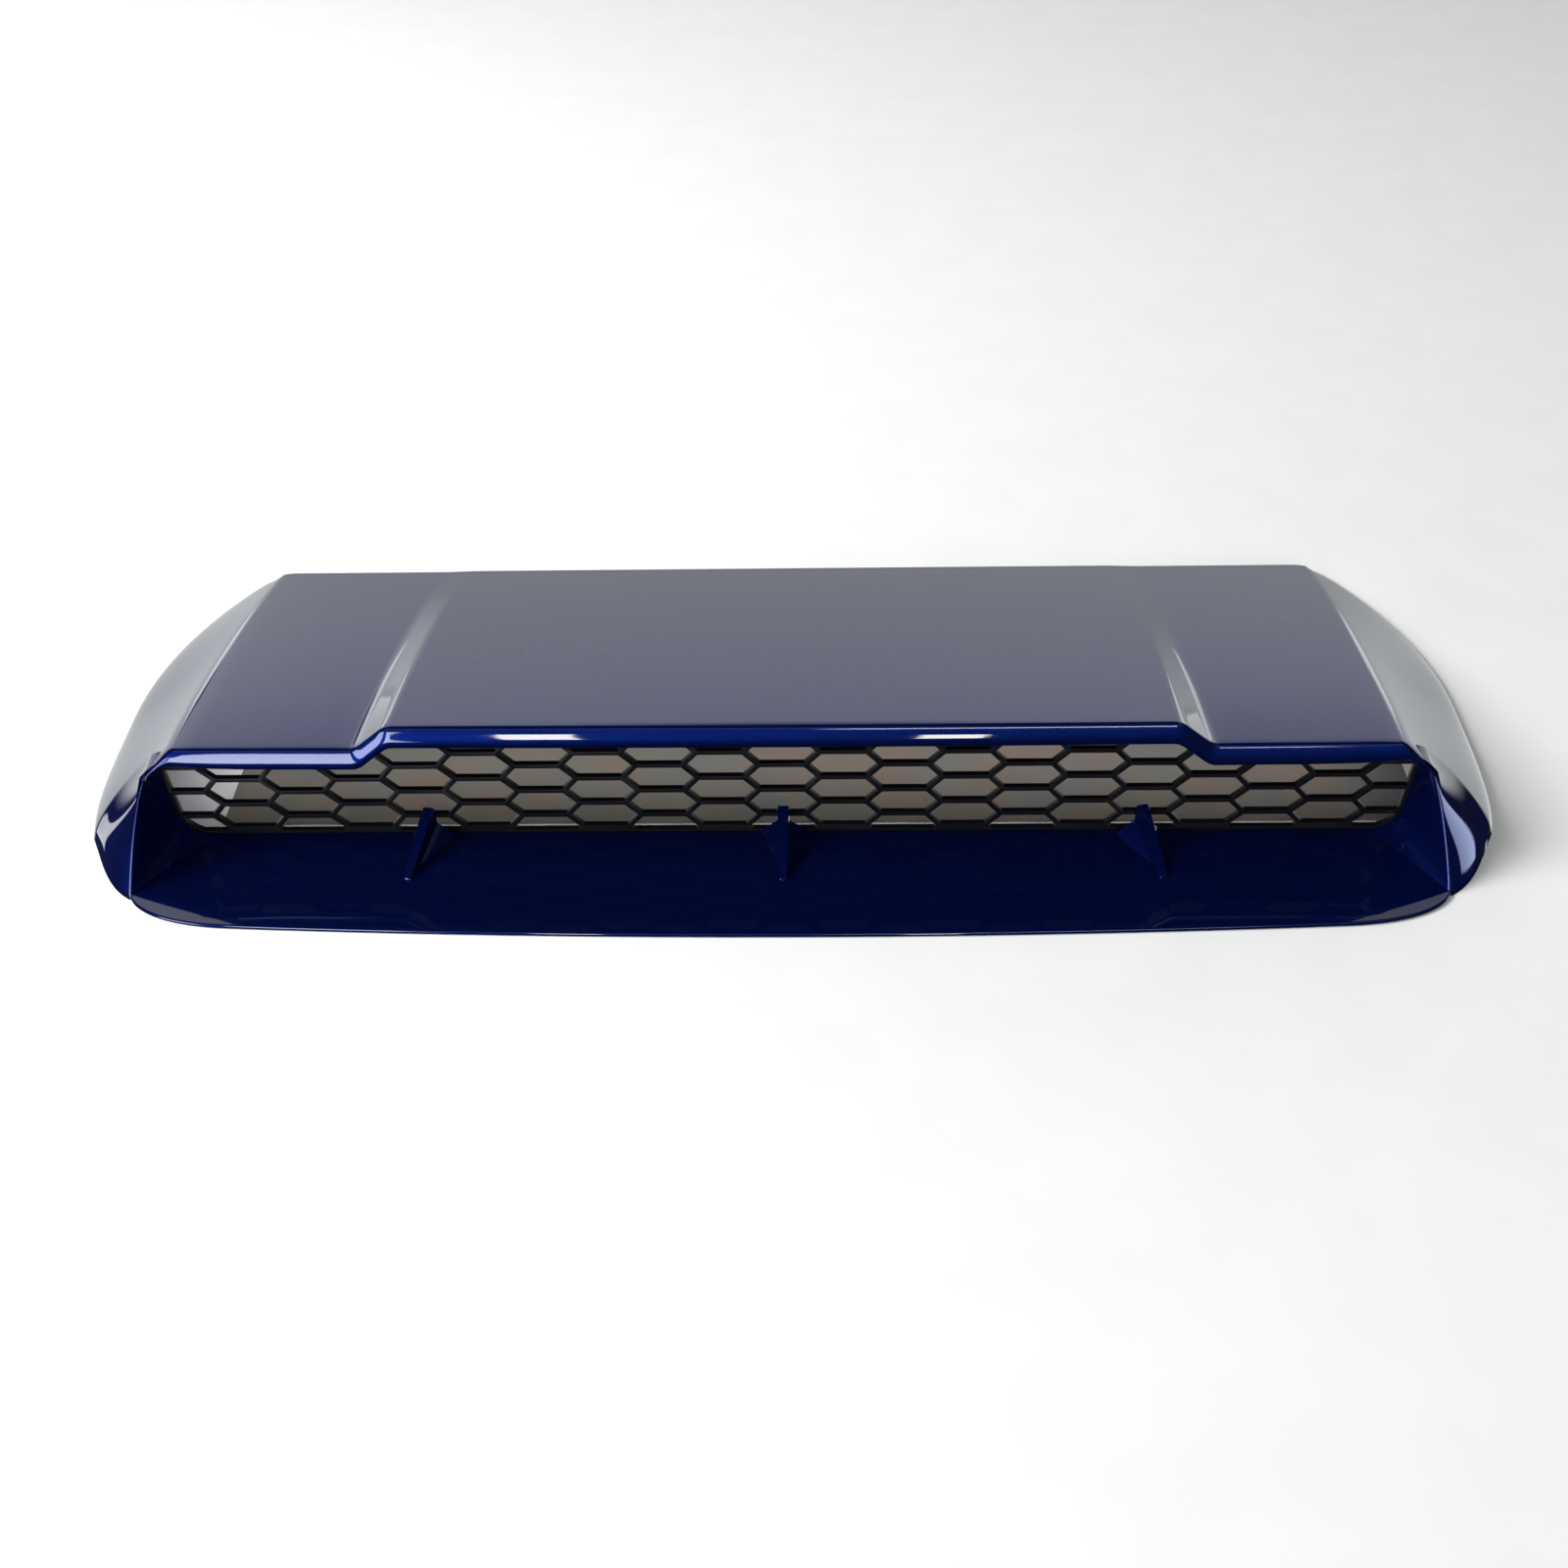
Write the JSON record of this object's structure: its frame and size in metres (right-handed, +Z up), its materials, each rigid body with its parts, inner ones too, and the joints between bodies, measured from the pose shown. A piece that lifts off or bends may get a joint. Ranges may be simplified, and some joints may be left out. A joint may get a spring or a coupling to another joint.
{
  "type": "bonnet scoop",
  "caption": "Painted bonnet scoop with a raised centre panel, lower shoulders, splitter fins in its wide mouth and a black honeycomb grille",
  "frame": {"origin": "middle of the base, on the plane the rim rests on", "axes": "+X across the car, +Y towards the rear edge with the mouth facing -Y, +Z up"},
  "size_m": [0.886, 0.346, 0.1015],
  "materials": {
    "shell": "blue metallic paint under gloss clearcoat",
    "grille": "matte moulded",
    "grille_screws": "zinc plated",
    "mounting_inserts": "turned",
    "rim_seal": "closed-cell foam"
  },
  "bodies": {
    "root": {"shell": "shell", "grille": "grille", "grille_screws": "grille_screws", "mounting_inserts": "mounting_inserts", "rim_seal": "rim_seal"}
  },
  "joints": []
}
